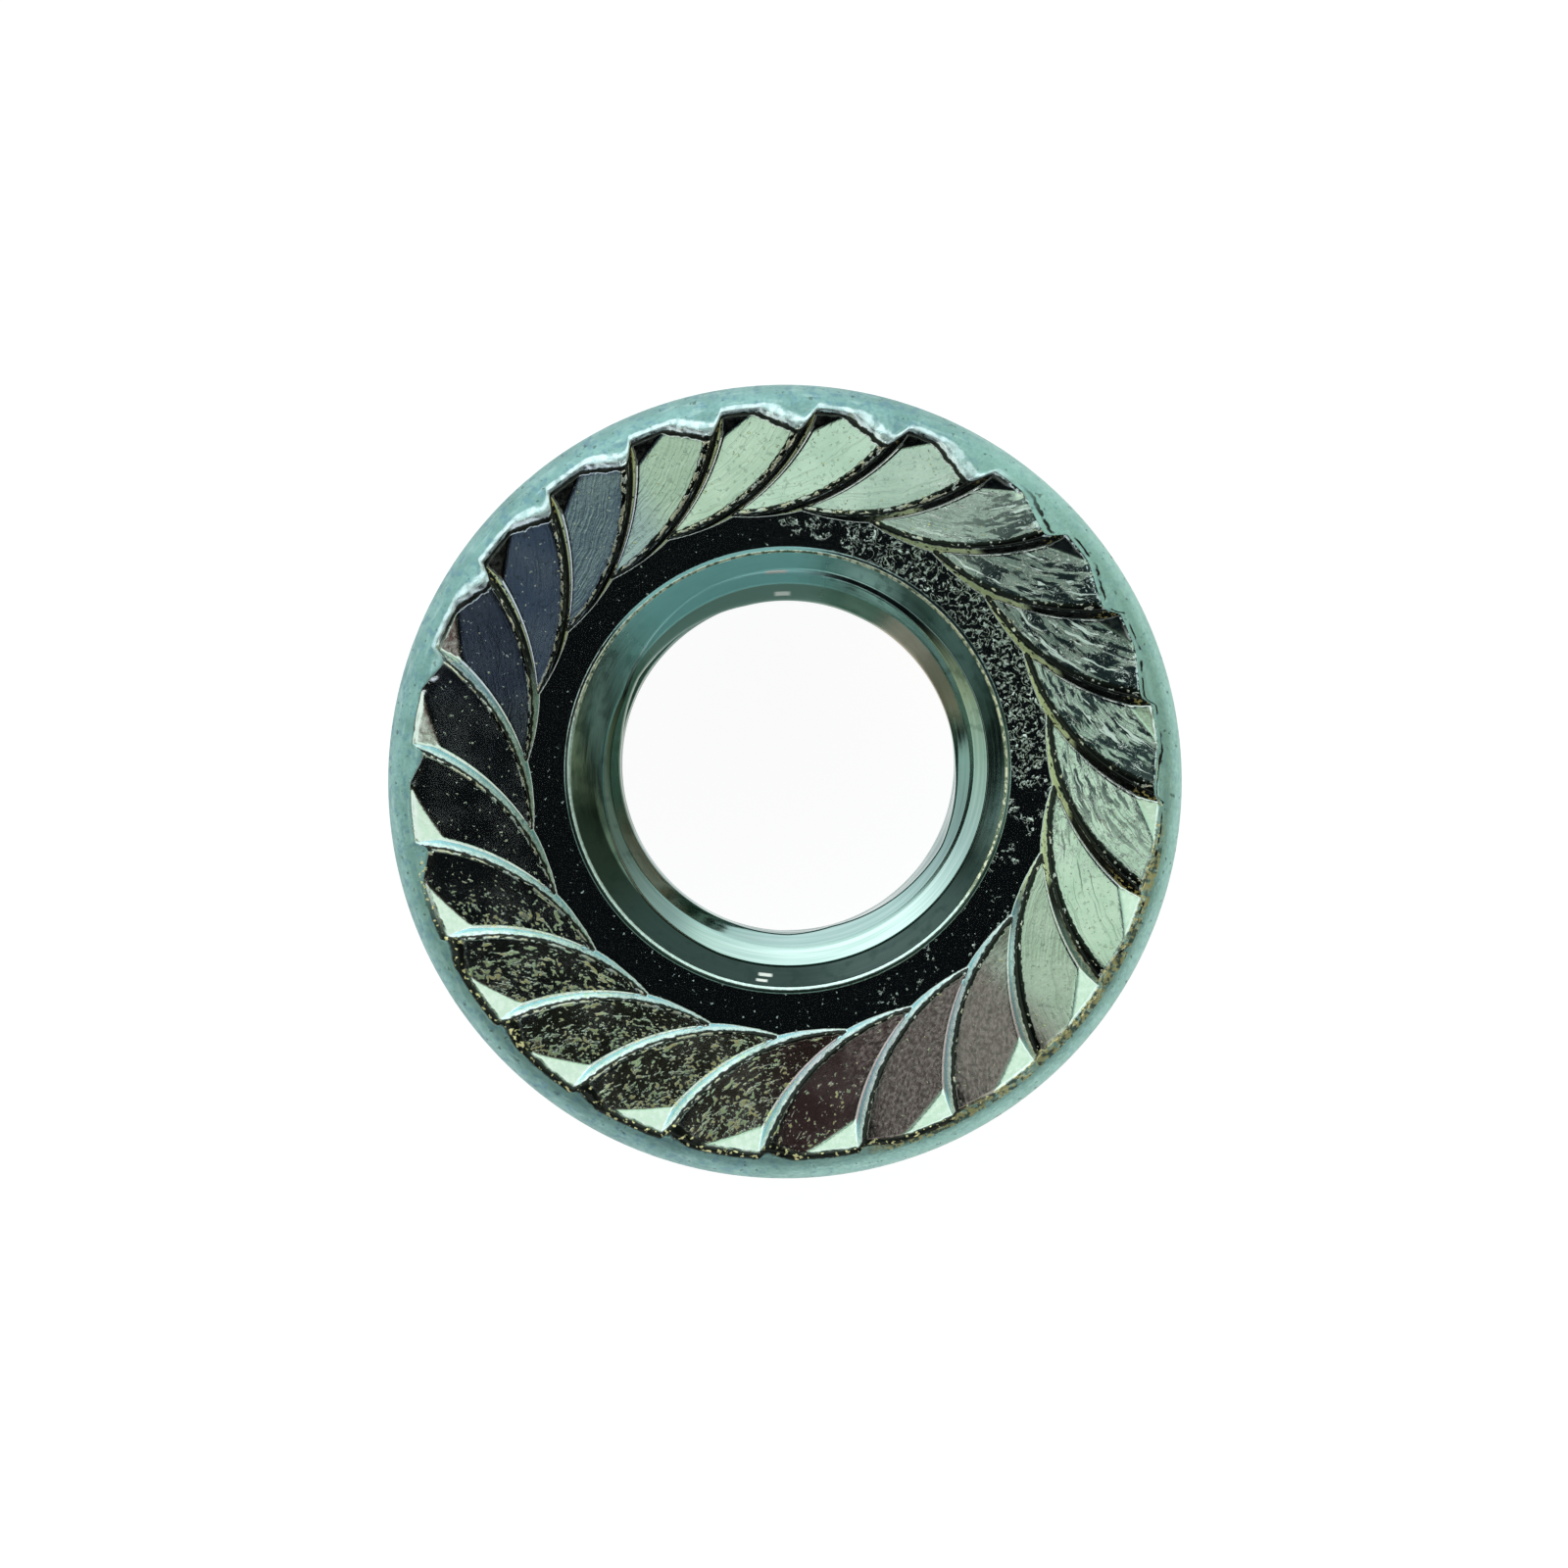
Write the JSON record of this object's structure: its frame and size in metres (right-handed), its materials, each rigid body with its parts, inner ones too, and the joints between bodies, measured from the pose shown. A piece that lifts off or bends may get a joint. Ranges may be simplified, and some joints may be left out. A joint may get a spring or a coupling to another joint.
{
  "type": "serrated flange nut",
  "caption": "Zinc-plated hex flange nut with a serrated bearing face, a rounded flange rim and a countersunk through bore for a right-hand thread.",
  "frame": {"origin": "on the thread's axis, in the plane of the hex end the nut stands on; the flange's rim runs out from the thread as on the real piece, so the bounding box's centre lies 0.43 mm away", "axes": "+Z along the thread's axis, from the hex end towards the serrated bearing face; flats of the hex face +Y and -Y"},
  "size_m": [0.019, 0.019, 0.0085],
  "materials": {
    "zinc": "bright zinc plating on cold-formed steel"
  },
  "bodies": {
    "root": {"flange_nut": "zinc"}
  },
  "joints": []
}
